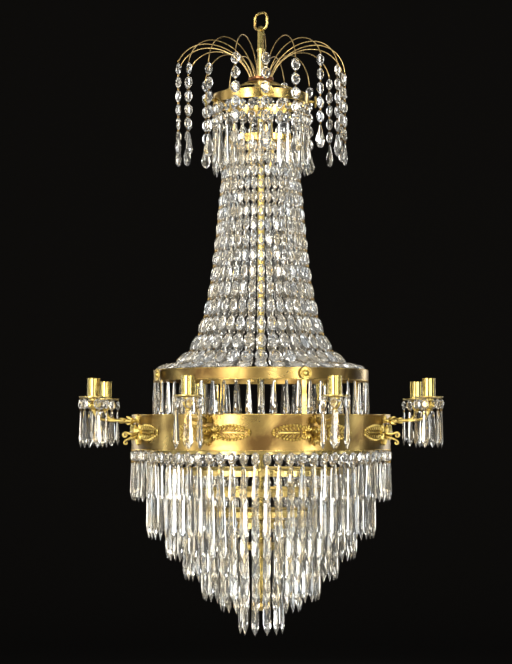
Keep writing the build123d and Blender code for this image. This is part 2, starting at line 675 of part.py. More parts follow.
def build_arms():
    casting, cup, pan, drops = arm(), candle_cup(), drip_pan(), pan_drops()
    cups = []
    for number in range(ARM_COUNT):
        turn = Rot(0, 0, from_front(ARM_FIRST) + 360.0 * number / ARM_COUNT)
        station = turn * Pos(CUP_AXIS_R, 0, 0)
        save(f"arm_{number + 1}", [turn * casting])
        save(f"drip_pan_{number + 1}", [station * pan])
        save(f"pan_drops_{number + 1}", [station * solid for solid in drops])
        cups.append(station * cup)
    save("candle_cups", cups)


build_upper_half()
build_band_and_tiers()
build_arms()
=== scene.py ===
"""The looks of a crystal chandelier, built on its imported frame.

Metres, +Z up, the front of the lamp faces -Y. Z = 0 is the inside top of the hanging link. What
repeats round the lamp's axis is modelled once, facing +X, and then copied into place.
"""
import json
from math import atan2, cos, pi, radians, sin
from random import Random

import bpy
from mathutils import Euler, Matrix, Vector
from mathutils.geometry import interpolate_bezier


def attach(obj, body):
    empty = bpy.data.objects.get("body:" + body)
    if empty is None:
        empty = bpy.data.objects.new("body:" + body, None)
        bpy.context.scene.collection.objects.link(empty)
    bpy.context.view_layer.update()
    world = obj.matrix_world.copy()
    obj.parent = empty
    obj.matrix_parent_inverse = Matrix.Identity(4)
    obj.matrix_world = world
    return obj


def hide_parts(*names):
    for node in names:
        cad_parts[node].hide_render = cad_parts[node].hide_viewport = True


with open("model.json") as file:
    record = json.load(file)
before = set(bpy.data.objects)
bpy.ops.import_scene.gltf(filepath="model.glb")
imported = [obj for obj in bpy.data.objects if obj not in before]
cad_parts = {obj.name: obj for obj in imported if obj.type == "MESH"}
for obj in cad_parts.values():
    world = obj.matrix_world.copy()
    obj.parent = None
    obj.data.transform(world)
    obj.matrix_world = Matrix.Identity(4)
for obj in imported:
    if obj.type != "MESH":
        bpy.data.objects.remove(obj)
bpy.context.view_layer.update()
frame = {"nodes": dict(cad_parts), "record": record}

chance = Random(1820)

# ---- sizes that follow the frame -----------------------------------------------------------
CROWN_R, CROWN_WALL, CROWN_TOP, CROWN_BOTTOM = 0.094, 0.002, -0.1615, -0.1805
BASKET_R, BASKET_WALL, BASKET_BOTTOM = 0.070, 0.0025, -0.257
UPPER_R, UPPER_WALL, UPPER_TOP, UPPER_BOTTOM = 0.208, 0.0025, -0.698, -0.720
BAND_R, BAND_WALL, BAND_TOP, BAND_BOTTOM = 0.250, 0.0025, -0.784, -0.8515
COLLAR_BOTTOM = -0.133
ARM_COUNT, ARM_FIRST = 8, 22.5
ROD_Z = BAND_TOP - 0.012      # height of the arms' rods
CUP_AXIS_R = BAND_R + 0.088   # of the candles' axes
CUP_TOP, CUP_BOTTOM, CUP_R = -0.717, -0.753, 0.0122
SEAT_TOP = -0.7548            # of the seat that a pan lies on
PAN_Z, PAN_R, PAN_FLAT_R, PAN_RISE = -0.75465, 0.027, 0.020, 0.002
LEAF_LENGTH, LEAF_BASE, LEAF_HALF_HEIGHT = 0.071, 0.0106, 0.016
HANG_GAP = 0.0001             # between a crystal and what carries it

# ---- crystals: cut, length, width, thickness -------------------------------------------------
CHAIN_BEAD = ("bead", 0.027, 0.0185, 0.008)
CHAIN_PEAR = ("pear", 0.046, 0.021, 0.011)
CROWN_BEAD = ("bead", 0.0225, 0.0155, 0.007)
CROWN_SPEAR = ("spear", 0.091, 0.014, 0.007)
UPPER_SPEAR = ("spear", 0.075, 0.012, 0.007)
TIER_BEAD = ("bead", 0.0225, 0.0150, 0.0075)
FIRST_SPEAR = ("spear", 0.075, 0.013, 0.007)
TIER_SPEAR = ("long", 0.140, 0.0145, 0.0075)
PAN_BEAD = ("bead", 0.0225, 0.0150, 0.0072)
PAN_SPEAR = ("spear", 0.071, 0.0134, 0.0068)

# ---- where the crystals hang -----------------------------------------------------------------
FOUNTAIN_COUNT, FOUNTAIN_FIRST = 18, 3.0
FOUNTAIN_TIP_R, FOUNTAIN_TIP_Z = 0.164, -0.1069
FOUNTAIN_SAGS = (0.0, 0.009, -0.006, 0.004, 0.013, -0.002)
CHAIN_BEADS = 5
CROWN_COUNT, UPPER_COUNT, FIRST_COUNT = 32, 56, 72
# radius of the ring's middle, fall of its lower edge below the band, drops
TIERS = ((0.218, 0.006, 64), (0.181, 0.047, 54), (0.1465, 0.086, 44), (0.1115, 0.126, 34),
         (0.0765, 0.148, 24), (0.042, 0.191, 12))
PAN_DROPS, PAN_DROP_R = 6, 0.0245
PAN_UNDER = PAN_Z + PAN_RISE * (PAN_DROP_R - PAN_FLAT_R) / (PAN_R - PAN_FLAT_R)

BASKET_STRANDS, BASKET_ROWS = 36, 16
BASKET_PARTS = {"upper": slice(0, 6), "middle": slice(6, 11), "lower": slice(11, None)}
BASKET_GROWTH, BASKET_GROWTH_POWER = 0.7, 1.6
BASKET_CURVE = ((BASKET_R - BASKET_WALL / 2, BASKET_BOTTOM - HANG_GAP),
                (0.095, BASKET_BOTTOM - 0.263), (0.093, UPPER_TOP + 0.003),
                (UPPER_R - UPPER_WALL - HANG_GAP, UPPER_TOP))
BASKET_CURVE_STEPS = 2000
BASKET_FILL, BASKET_ASPECT, BASKET_THICK = 0.93, 0.62, 0.42

SWAY = 0.006                  # how far a drop hangs out of plumb, in radians
TWIST = 0.14                  # and how far a crystal is turned on its pins
PAN_UNREST = 0.25             # the share of both that the drops of the pans have
BEAD_SHARE = 0.82             # of a bead's place that its glass fills; the rest is for its pins
HEAD_GAP = 0.0022             # between a pin and the top of a long drop
PIN_R, PIN_WIRE_R, PIN_STRETCH = 0.0016, 0.0003, 1.7

# ---- units and directions --------------------------------------------------------------------
MM = 0.001
OUT, LEFT, RIGHT, UP, DOWN = (1, 0, 0), (0, 1, 0), (0, -1, 0), (0, 0, 1), (0, 0, -1)
OUT_AND_DOWN = (1, 0, -0.25)


# ---- modelling helpers -----------------------------------------------------------------------
def deselect():
    bpy.ops.object.select_all(action="DESELECT")


def edit(select="DESELECT"):
    """Enters edit mode with all or nothing selected."""
    bpy.ops.object.mode_set(mode="EDIT")
    bpy.ops.mesh.select_all(action=select)


def leave_edit():
    bpy.ops.object.mode_set(mode="OBJECT")


def select_mode(kind):
    """What is selected from now on: VERT, EDGE or FACE."""
    bpy.context.tool_settings.mesh_select_mode = tuple(kind == k for k in ("VERT", "EDGE", "FACE"))


def pick(piece, kind, wanted):
    """Enters edit mode with the corners, VERT, or faces, FACE, selected that pass the test."""
    select_mode(kind)
    edit()
    leave_edit()
    for element in piece.data.vertices if kind == "VERT" else piece.data.polygons:
        element.select = wanted(element)
    bpy.ops.object.mode_set(mode="EDIT")


def settle():
    """Puts the active piece's place, turn and size into its mesh."""
    bpy.ops.object.transform_apply(location=True, rotation=True, scale=True)
    return bpy.context.object


def only(piece):
    """Makes one piece the selected and active one."""
    deselect()
    piece.select_set(True)
    bpy.context.view_layer.objects.active = piece


def outwards(piece):
    """Merges doubles and turns every face outwards."""
    only(piece)
    edit("SELECT")
    bpy.ops.mesh.remove_doubles(threshold=1e-6)
    bpy.ops.mesh.normals_make_consistent(inside=False)
    leave_edit()
    return piece


def smooth(piece, angle=40):
    """Shades a piece smooth, up to an angle in degrees between its faces."""
    only(piece)
    bpy.ops.object.shade_smooth_by_angle(angle=radians(angle))
    return piece


def join(name, pieces):
    """Several pieces as one, with its place in its mesh."""
    deselect()
    for piece in pieces:
        piece.select_set(True)
    bpy.context.view_layer.objects.active = pieces[0]
    if len(pieces) > 1:
        bpy.ops.object.join()
    whole = settle()
    whole.name = name
    return whole


def copy_of(model, place):
    """A copy with its own mesh, at a place given as a matrix."""
    copy = model.copy()
    copy.data = model.data.copy()
    bpy.context.collection.objects.link(copy)
    copy.matrix_world = place @ model.matrix_world
    return copy


def drop_model(model):
    bpy.data.objects.remove(model)


def section(radius, height, *corners):
    """The (radius, height) corners of a section, given in millimetres from one place."""
    return [(radius + out * MM, height + up * MM) for out, up in corners]


def start_ring(radius, height, sides, fill="NGON"):
    """A circle in edit mode with all of it selected: a face, or with NOTHING an open ring."""
    deselect()
    bpy.ops.mesh.primitive_circle_add(vertices=sides, radius=radius, fill_type=fill,
                                      location=(0, 0, height))
    select_mode("FACE" if fill == "NGON" else "EDGE")
    edit("SELECT")


def extrude(up, along=0):
    step = {"value": (along, 0, up)}
    bpy.ops.mesh.extrude_region_move(TRANSFORM_OT_translate=step)


def draw_out(rings, turned_ring=None, turn=0.0):
    """Extrudes the selection from (radius, height) ring to ring; a radius of 0 ends in a point."""
    steps = zip(rings, rings[1:])
    for number, ((radius, height), (next_radius, next_height)) in enumerate(steps, start=1):
        extrude(next_height - height)
        if next_radius == 0:
            bpy.ops.mesh.merge(type="CENTER")
            break
        share = next_radius / radius
        bpy.ops.transform.resize(value=(share, share, 1))
        if number == turned_ring:
            bpy.ops.transform.rotate(value=turn, orient_axis="Z",
                                     center_override=(0, 0, next_height))


def turned(profile, sides):
    """A piece turned on a lathe, from (radius, height) rings."""
    start_ring(*profile[0], sides)
    draw_out(profile)
    leave_edit()
    return outwards(settle())


def hoop(profile, sides):
    """A closed moulding turned round the axis, from the (radius, height) corners of its section."""
    start_ring(*profile[0], sides, fill="NOTHING")
    draw_out([*profile, profile[0]])
    leave_edit()
    return outwards(settle())


def facing(origin, along, out):
    """A place at origin whose X runs along one line and whose Z leans towards another."""
    x = Vector(along).normalized()
    y = Vector(out).cross(x).normalized()
    place = Matrix((x, y, x.cross(y))).transposed().to_4x4()
    place.translation = origin
    return place


def finish_piece(piece, material, slot, body, *nodes):
    """Gives a piece its material, sets it on its body and lets it stand for nodes; the slot is not
    used.
    """
    piece.data.materials.clear()
    piece.data.materials.append(material)
    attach(piece, body)
    if nodes:
        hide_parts(*nodes)


def azimuths(count, first):
    """Angles of evenly spaced places, where first is counted in degrees from the front."""
    return [radians(first - 90 + 360 * i / count) for i in range(count)]


def about_axis(angle, radius=0.0, height=0.0):
    """The place at an azimuth, facing outwards."""
    return Matrix.Rotation(angle, 4, "Z") @ Matrix.Translation((radius, 0, height))


def at_each_arm(model, radius=0.0):
    """Copies of a model that faces +X, one for each arm; the model itself is dropped."""
    copies = [copy_of(model, about_axis(a, radius)) for a in azimuths(ARM_COUNT, ARM_FIRST)]
    drop_model(model)
    return copies


# ---- materials -------------------------------------------------------------------------------
def new_node(tree, kind, values=None, **settings):
    """A shader node with its settings, and then the values of its inputs."""
    node = tree.nodes.new("ShaderNode" + kind)
    for setting, value in settings.items():
        setattr(node, setting, value)
    for socket, value in (values or {}).items():
        node.inputs[socket].default_value = value
    return node


def connect(tree, *links):
    """Links nodes, from (node, output, node, input) rows."""
    for source, output, target, socket in links:
        tree.links.new(source.outputs[output], target.inputs[socket])


def new_material(name, values):
    """A material, its nodes, its shader with the named values, and its object coordinates."""
    material = bpy.data.materials.new(name)
    material.use_nodes = True
    tree = material.node_tree
    shader = tree.nodes["Principled BSDF"]
    for socket, value in values.items():
        shader.inputs[socket].default_value = value
    return material, tree, shader, new_node(tree, "TexCoord")


def darker(colour, shares):
    """A colour with each of its channels brought down to a share."""
    return (*(channel * share for channel, share in zip(colour, shares)), 1)


def effect(name, outputs):
    """A new node group that takes a place and a size and puts out the named values."""
    group = bpy.data.node_groups.new(name, "ShaderNodeTree")
    group.interface.new_socket("Place", in_out="INPUT", socket_type="NodeSocketVector")
    group.interface.new_socket("Size", in_out="INPUT", socket_type="NodeSocketFloat")
    for output in outputs:
        group.interface.new_socket(output, in_out="OUTPUT", socket_type="NodeSocketFloat")
    return group, group.nodes.new("NodeGroupInput"), group.nodes.new("NodeGroupOutput")


def patches_effect():
    """Soft clouds with ragged edges, as on brass that has been handled and wiped, and specks."""
    group, start, end = effect("patches", ["Clouds", "Specks"])
    cloud = new_node(group, "TexNoise", {"Detail": 5, "Distortion": 0.6})
    spread = new_node(group, "MapRange", {"From Min": 0.36, "From Max": 0.66})
    finer = new_node(group, "Math", {1: SPECK_FINENESS}, operation="MULTIPLY")
    speck = new_node(group, "TexNoise", {"Detail": 3})
    connect(group, (start, "Place", cloud, "Vector"), (start, "Size", cloud, "Scale"),
            (cloud, "Fac", spread, "Value"), (spread, "Result", end, "Clouds"),
            (start, "Size", finer, 0), (start, "Place", speck, "Vector"),
            (finer, 0, speck, "Scale"), (speck, "Fac", end, "Specks"))
    return group


SPECK_FINENESS = 14                   # how much finer the specks are than the clouds
PATCHES = patches_effect()
GRAIN_STRENGTH = 0.4
DARKER_FADE, DARKER_MOST = 0.15, 0.85     # metres over which it grows darker towards the bottom, and how far
DARKER_SHARES = (0.40, 0.42, 0.45)      # of the brown that is left where it is darker towards the bottom
PAINTED_SHADE_SHARES = (0.42, 0.32, 0.24)      # of the brown that is left in the deepest recesses, as painted shade
PAINTED_SHADE_FROM, PAINTED_SHADE_TO = 0.20, 0.72       # how open the recesses are that get all of the painted shade, and those that get none


def brass(name, bright, brown, roughness, patch_size, grain=0.00005, waves=0.0, wave_height=0.0,
          painted_shade_reach=0.0, darker_below=None):
    """Brass, bright where it is rubbed, brown where it is not, and darkened by painted shade in its
    recesses.
    """
    material, tree, shader, place = new_material(name, {"Metallic": 1.0})
    patches = new_node(tree, "Group", {"Size": patch_size}, node_tree=PATCHES)
    tone = new_node(tree, "Mix", {"A": (*bright, 1), "B": (*brown, 1)}, data_type="RGBA")
    gloss = new_node(tree, "MapRange", {"To Min": roughness[0], "To Max": roughness[1]})
    bump = new_node(tree, "Bump", {"Strength": GRAIN_STRENGTH, "Distance": grain})
    connect(tree, (place, "Object", patches, "Place"), (patches, "Clouds", tone, "Factor"))
    # darker towards the bottom, below the given height
    if darker_below is not None:
        parts = new_node(tree, "SeparateXYZ")
        low = new_node(tree, "MapRange", {"From Min": darker_below, "To Max": DARKER_MOST,
                                          "From Max": darker_below - DARKER_FADE})
        darker_tone = new_node(tree, "Mix", {"B": darker(brown, DARKER_SHARES)}, data_type="RGBA")
        connect(tree, (place, "Object", parts, "Vector"), (parts, "Z", low, "Value"),
                (low, "Result", darker_tone, "Factor"), (tone, "Result", darker_tone, "A"))
        tone = darker_tone
    # painted shade: ambient occlusion darkens the colour towards a dark brown in the recesses
    if painted_shade_reach:
        hollow = new_node(tree, "AmbientOcclusion", {"Distance": painted_shade_reach}, samples=8)
        depth = new_node(tree, "MapRange", {"From Min": PAINTED_SHADE_FROM, "From Max": PAINTED_SHADE_TO})
        painted_shade = new_node(tree, "Mix", {"A": darker(brown, PAINTED_SHADE_SHARES)}, data_type="RGBA")
        connect(tree, (hollow, "AO", depth, "Value"), (depth, "Result", painted_shade, "Factor"),
                (tone, "Result", painted_shade, "B"))
        tone = painted_shade
    connect(tree, (tone, "Result", shader, "Base Color"), (patches, "Clouds", gloss, "Value"),
            (gloss, "Result", shader, "Roughness"), (patches, "Specks", bump, "Height"),
            (bump, "Normal", shader, "Normal"))
    if waves:
        swell = new_node(tree, "TexNoise", {"Scale": waves, "Detail": 1})
        dent = new_node(tree, "Bump", {"Strength": 1.0, "Distance": wave_height})
        connect(tree, (place, "Object", swell, "Vector"), (swell, "Fac", dent, "Height"),
                (dent, "Normal", bump, "Normal"))
    return material


# where on the drifting noise a stone is cool, clear and warm, and its colour there
COOL_TINT, CLEAR_TINT, WARM_TINT = ((0.36, (0.92, 0.96, 1.0, 1)), (0.48, (1.0, 0.985, 0.945, 1)),
                                    (0.64, (1.0, 0.93, 0.78, 1)))


def crystal(name, clarity):
    """Clear lead glass, a breath warmer or cooler from stone to stone, with a little dust."""
    material, tree, shader, place = new_material(name, {"Transmission Weight": clarity,
                                                        "IOR": 1.52})
    drift = new_node(tree, "TexNoise", {"Scale": 30, "Detail": 2})
    tint = new_node(tree, "ValToRGB")
    first, last = tint.color_ramp.elements
    first.position, first.color = COOL_TINT
    last.position, last.color = WARM_TINT
    tint.color_ramp.elements.new(CLEAR_TINT[0]).color = CLEAR_TINT[1]
    dust = new_node(tree, "MapRange", {"From Min": 0.40, "From Max": 0.70,
                                       "To Min": 0.0, "To Max": 0.05})
    connect(tree, (place, "Object", drift, "Vector"), (drift, "Fac", tint, "Fac"),
            (tint, "Color", shader, "Base Color"), (drift, "Fac", dust, "Value"),
            (dust, "Result", shader, "Roughness"))
    return material


# name, rubbed colour, brown colour, roughness of each, and how fine the patches are
POLISHED = brass("polished_brass", (0.72, 0.54, 0.18), (0.36, 0.23, 0.07), (0.20, 0.32), 38,
                 grain=0.00001)
STEM_BRASS = brass("stem_brass", (0.68, 0.53, 0.18), (0.46, 0.34, 0.11), (0.20, 0.34), 20,
                   grain=0.00001, darker_below=-0.50)
CUP_BRASS = brass("cup_brass", (0.60, 0.48, 0.155), (0.44, 0.33, 0.10), (0.20, 0.25), 9,
                  grain=0.000003)
INNER = brass("inner_brass", (0.52, 0.41, 0.16), (0.28, 0.20, 0.07), (0.26, 0.40), 30,
              grain=0.00002)
# the patinated brass, the chased gilt and the grounds' gilt get painted shade in their recesses
PATINATED = brass("patinated_brass", (0.38, 0.262, 0.084), (0.105, 0.058, 0.019), (0.26, 0.38),
                  15, grain=0.00002, waves=7, wave_height=0.0005, painted_shade_reach=0.0035)
CHASED = brass("chased_gilt", (0.64, 0.50, 0.16), (0.38, 0.27, 0.075), (0.28, 0.42), 90,
               painted_shade_reach=0.003)
# the gilt of the sunk grounds behind the leafwork: a much darker copy of the chased gilt, painted
# shade under the raised leaves
PAINTED_SHADE_GROUND = brass("painted_shade_chased_ground", (0.24, 0.155, 0.048), (0.11, 0.062, 0.019), (0.34, 0.50), 120,
               grain=0.0002, painted_shade_reach=0.002)
PALE_WIRE = brass("pale_wire", (0.62, 0.46, 0.20), (0.32, 0.21, 0.085), (0.26, 0.40), 60)
PIN_WIRE = brass("pin_wire", (0.42, 0.29, 0.11), (0.18, 0.11, 0.04), (0.30, 0.44), 80)
RED_BROWN = brass("red_brown_edge", (0.36, 0.17, 0.08), (0.17, 0.07, 0.03), (0.26, 0.42), 50)
CRYSTAL = crystal("lead_crystal", 0.96)
DUSTY_CRYSTAL = crystal("dusty_crystal", 0.915)


# ---- crystals --------------------------------------------------------------------------------
def fitted(stone, length, width, thick, over, under):
    """Fits a stone to its real size, with room for the pins over and under it."""
    only(stone)
    stone.dimensions = (thick, width, length - over - under)
    settle()
    stone.location.z = -over
    return settle()


def cut_bead(length, width, thick):
    """A ten-sided oval bead with a wide table and one row of facets on each side."""
    deselect()
    bpy.ops.mesh.primitive_cylinder_add(vertices=10, radius=0.5, depth=0.1,
                                        rotation=(0, pi / 2, 0))
    stone = settle()
    pick(stone, "FACE", lambda face: abs(face.normal.x) > 0.9)
    bpy.ops.mesh.inset(thickness=0.10, depth=0.17)
    bpy.ops.mesh.inset(thickness=0.13, depth=0.09)
    leave_edit()
    stone.location.z = -0.5
    room = (1 - BEAD_SHARE) / 2 * length
    return fitted(settle(), length, width, thick, room, room)


def faceted(profile, sides, turned_ring, length, width, thick):
    """A long stone cut from (width, depth) rings; the facets after one ring are set between."""
    start_ring(profile[0][0] / 2, 0, sides)
    draw_out([(across, -depth) for across, depth in profile], turned_ring, pi / sides)
    leave_edit()
    stone = outwards(settle())
    stone.rotation_euler.z = pi / 2
    settle()
    return fitted(stone, length, width, thick, HEAD_GAP, HANG_GAP)


def cut_spear(length, width, thick):
    """A drop with a ridge down its middle, widest near its point."""
    profile = ((0.34, 0), (0.46, 0.04), (1, 0.76), (0.80, 0.86), (0, 1))
    return faceted(profile, 6, 3, length, width, thick)


def cut_long_drop(length, width, thick):
    """A long drop that hardly tapers, with a short diamond point."""
    profile = ((0.36, 0), (0.54, 0.03), (0.84, 0.42), (1, 0.82), (0.86, 0.90), (0, 1))
    return faceted(profile, 6, 4, length, width, thick)


def cut_pear(length, width, thick):
    """A pear-shaped drop with a rounded foot."""
    profile = ((0.14, 0), (0.30, 0.06), (0.56, 0.30), (1, 0.68), (0.76, 0.88), (0.26, 1))
    return faceted(profile, 8, 3, length, width, thick)


CUTS = {"bead": cut_bead, "spear": cut_spear, "long": cut_long_drop, "pear": cut_pear}
stones = {}


def stone_model(cut, length, width, thick):
    """The one model of each crystal, made when it is first needed."""
    key = (cut, length, width, thick)
    if key not in stones:
        stones[key] = CUTS[cut](length, width, thick)
    return stones[key]


def pin_model():
    """The small wire loop that ties one crystal to the next."""
    deselect()
    bpy.ops.mesh.primitive_torus_add(major_segments=8, minor_segments=3, major_radius=PIN_R,
                                     minor_radius=PIN_WIRE_R, rotation=(pi / 2, 0, 0))
    pin = settle()
    pin.scale.z = PIN_STRETCH
    return smooth(settle(), 60)


PIN = pin_model()


def leaning(place, sway):
    """A place with a small lean of its own."""
    lean = Euler((chance.uniform(-sway, sway), chance.uniform(-sway, sway), 0))
    return place @ lean.to_matrix().to_4x4()


def below_pin(spot, unrest=1.0):
    """Where a stone hangs from its pin, turned a little on it."""
    twist = Matrix.Rotation(unrest * chance.uniform(-TWIST, TWIST), 4, "Z")
    return spot @ Matrix.Translation((0, 0, -HANG_GAP)) @ twist


def crystals(name, body, node, placed, glass=CRYSTAL):
    """One piece of glass from (stone, place) pairs, which stands for a node."""
    copies = [copy_of(stone_model(*stone), place) for stone, place in placed]
    finish_piece(join(name, copies), glass, "crystal", body, node)


def pins(name, body, places):
    """One piece of wire loops at the given places."""
    loops = [copy_of(PIN, place) for place in places]
    finish_piece(join(name, loops), PIN_WIRE, "brass_wire", body)


def strung(drop, places, unrest=1.0):
    """The stones and the pins of a drop that hangs at each of the places."""
    placed, joints = [], []
    for place in places:
        hang = leaning(place, unrest * SWAY)
        down = 0.0
        for stone in drop:
            spot = hang @ Matrix.Translation((0, 0, -down))
            joints.append(spot)
            placed.append((stone, below_pin(spot, unrest)))
            down += stone[1]
    return placed, joints


def garland(name, body, node, drop, places, unrest=1.0):
    """A row of drops: one piece of glass and one of wire."""
    placed, joints = strung(drop, places, unrest)
    crystals(name, body, node, placed)
    pins(name + "_pins", body, joints)


def fountain_chains():
    """The chains of beads at the wires' tips, each with a pear at its end."""
    places = []
    for i, angle in enumerate(azimuths(FOUNTAIN_COUNT, FOUNTAIN_FIRST)):
        tip = FOUNTAIN_TIP_Z - FOUNTAIN_SAGS[i % len(FOUNTAIN_SAGS)]
        places.append(about_axis(angle, FOUNTAIN_TIP_R, tip))
    placed, joints = strung([CHAIN_BEAD] * CHAIN_BEADS + [CHAIN_PEAR], places)
    for name, node, stone in (("fountain_chains", "fountain_beads", CHAIN_BEAD),
                              ("fountain_pendants", "fountain_pears", CHAIN_PEAR)):
        crystals(name, "lamp", node, [pair for pair in placed if pair[0] == stone])
    pins("fountain_chains_pins", "lamp", joints)


def basket_points():
    """The ends of the basket's rows, as (radius, height), evenly graded along its curve."""
    knots = [Vector((*point, 0)) for point in BASKET_CURVE]
    fine = interpolate_bezier(*knots, BASKET_CURVE_STEPS)
    lengths = [0.0]
    for before, after in zip(fine, fine[1:]):
        lengths.append(lengths[-1] + (after - before).length)
    last = BASKET_ROWS - 1
    growth = [1 + BASKET_GROWTH * (i / last) ** BASKET_GROWTH_POWER for i in range(BASKET_ROWS)]
    unit = lengths[-1] / sum(growth)
    ends, done, at = [fine[0]], 0.0, 0
    for share in growth:
        done += share * unit
        while at < len(fine) - 1 and lengths[at] < done:
            at += 1
        ends.append(fine[at])
    return ends


def basket():
    """The graded rows of beads from the small ring down to the upper ring."""
    ends = basket_points()
    rows, joints = [], []
    for upper, lower in zip(ends, ends[1:]):
        chord = lower - upper
        length = chord.length
        spacing = 2 * pi * (upper.x + lower.x) / 2 / BASKET_STRANDS
        width = min(BASKET_FILL * spacing, BASKET_ASPECT * length)
        lean = Matrix.Rotation(-atan2(chord.x, -chord.y), 4, "Y")
        stone = ("bead", length, width, BASKET_THICK * width)
        spots = [about_axis(a, upper.x, upper.y) @ lean for a in azimuths(BASKET_STRANDS, 0)]
        rows.append([(stone, below_pin(spot)) for spot in spots])
        joints += spots
    for part, its_rows in BASKET_PARTS.items():
        crystals(f"basket_{part}", "lamp", f"basket_beads_{part}", sum(rows[its_rows], []),
                 DUSTY_CRYSTAL)
    pins("basket_pins", "lamp", joints)


def ring_garland(name, node, drop, radius, height, count, first=0.0):
    """A row of drops round one of the lamp's rings."""
    places = [about_axis(a, radius, height) for a in azimuths(count, first)]
    garland(name, "lamp", node, drop, places)


def all_garlands():
    """All the crystals from the top down, and then those of the pans."""
    fountain_chains()
    ring_garland("crown_garland", "crown_drops", [CROWN_BEAD, CROWN_BEAD, CROWN_SPEAR],
                 CROWN_R - CROWN_WALL / 2, CROWN_BOTTOM, CROWN_COUNT)
    basket()
    ring_garland("upper_fringe", "upper_spears", [UPPER_SPEAR],
                 UPPER_R - UPPER_WALL / 2, UPPER_BOTTOM, UPPER_COUNT)
    ring_garland("tier_garland_1", "tier_drops_1", [TIER_BEAD, FIRST_SPEAR],
                 BAND_R - BAND_WALL / 2, BAND_BOTTOM, FIRST_COUNT, 180 / FIRST_COUNT)
    for number, (radius, fall, count) in enumerate(TIERS, start=2):
        ring_garland(f"tier_garland_{number}", f"tier_drops_{number}", [TIER_BEAD, TIER_SPEAR],
                     radius, BAND_BOTTOM - fall, count, 180 / count)
    for number, angle in enumerate(azimuths(ARM_COUNT, ARM_FIRST), start=1):
        places = [about_axis(angle, CUP_AXIS_R) @ about_axis(a, PAN_DROP_R, PAN_UNDER)
                  for a in azimuths(PAN_DROPS, 90 + 180 / PAN_DROPS)]
        garland(f"pan_garland_{number}", f"pan_{number}", f"pan_drops_{number}",
                [PAN_BEAD, PAN_SPEAR], places, PAN_UNREST)


# ---- leafwork --------------------------------------------------------------------------------
def blade_model():
    """A crowned leaf blade, a unit long, wide and high, that grows from the origin along +X."""
    deselect()
    bpy.ops.mesh.primitive_circle_add(vertices=8, radius=0.5, fill_type="NGON",
                                      location=(0.5, 0, 0))
    model = settle()
    pick(model, "VERT", lambda corner: corner.co.x > 0.8)
    bpy.ops.transform.resize(value=(1, 0.5, 1))
    leave_edit()
    pick(model, "VERT", lambda corner: corner.co.x < 0.2)
    bpy.ops.transform.resize(value=(1, 0.6, 1))
    leave_edit()
    select_mode("FACE")
    edit("SELECT")
    extrude(0.6, along=0.02)
    bpy.ops.transform.resize(value=(0.82, 0.66, 1))
    extrude(0.4, along=0.04)
    bpy.ops.transform.resize(value=(0.62, 0.25, 1))
    leave_edit()
    return smooth(outwards(model), 50)


BLADE = blade_model()


def blade(origin, along, out, length, width, height):
    """One leaf blade that grows from a point along one line and swells towards another."""
    size = Matrix.Diagonal((length, width, height, 1))
    return copy_of(BLADE, facing(origin, along, out) @ size)


PLATE_LIP, PLATE_SINK = 0.0013, 0.0006            # of the raised edge round a leaf's ground
PLATE_PARTS = 8                                   # of its length, that it can bend between


def leaf_plate(length, height, thick):
    """A lobed leaf ground with a raised edge, lying along X with its back at Z = 0."""
    deselect()
    bpy.ops.mesh.primitive_circle_add(vertices=32, radius=0.5, fill_type="NGON")
    plate = settle()
    plate.rotation_euler.z = pi / 2
    settle()
    pick(plate, "VERT", lambda corner: corner.index % 2 == 1)
    bpy.ops.transform.resize(value=(0.95, 0.93, 1))
    leave_edit()
    pick(plate, "VERT", lambda corner: abs(corner.co.x) > 0.36)
    bpy.ops.transform.resize(value=(1, 0.78, 1))
    leave_edit()
    plate.scale = (length, height, 1)
    settle()
    select_mode("FACE")
    edit("SELECT")
    extrude(thick)
    bpy.ops.mesh.inset(thickness=PLATE_LIP, depth=-PLATE_SINK)
    for cut in range(1 - PLATE_PARTS // 2, PLATE_PARTS // 2):
        bpy.ops.mesh.select_all(action="SELECT")
        bpy.ops.mesh.bisect(plane_co=(cut * length / PLATE_PARTS, 0, 0), plane_no=(1, 0, 0))
    leave_edit()
    return smooth(outwards(plate), 35)


# ---- the palm leaves on the band -------------------------------------------------------------
LEAF_FACE = 0.0010                                # height of the raised work's foot
EDGE_LOBES, LOBE_SIZE = 11, (0.0066, 0.0066, 0.0020)
LEAF_RIBS, RIB_ASIDE, RIB_WIDTH, RIB_HEIGHT = 8, 0.0016, 0.0036, 0.0014
TIP_SHARE, LEAFLET_WIDTH, LEAFLET_HEIGHT = 0.14, 0.0066, 0.0030
# direction in degrees and reach of the leaflets round the leaf's root
WHORL = ((-128, 0.014), (-96, 0.0165), (-66, 0.0155), (-38, 0.0125), (0, 0.012), (38, 0.0125),
         (66, 0.0155), (96, 0.0165), (128, 0.014))
WHORL_PLACE = (LEAF_BASE + 0.002, 0, 0.0012)
MIDRIB_PLACE, MIDRIB_SIZE = (LEAF_BASE + 0.038, 0, 0.0026), (0.040, 0.0036, 0.0030)
MIDRIB_EDGE = 0.0009                              # how far its edges are rounded
GROUND_SIZE = (LEAF_LENGTH * 0.95, LEAF_HALF_HEIGHT * 2 * 0.86, 0.0013)
GROUND_MIDDLE = LEAF_BASE + LEAF_LENGTH * 0.47
ARM_PLATE_SIZE, ARM_PLATE_BITE, ARM_PLATE_Z = (0.060, 0.023, 0.0022), 0.0004, ROD_Z - 0.0165


def in_plane(degrees, side=1):
    """A direction in the leaf's plane, turned from its length towards one side."""
    return (cos(radians(degrees)), side * sin(radians(degrees)), 0)


def leaf_edge(share):
    """Half the height of a palm leaf at a share of its length."""
    return LEAF_HALF_HEIGHT * 1.02 * sin(pi * share ** 0.84) ** 0.62 * (1 - 0.12 * share)


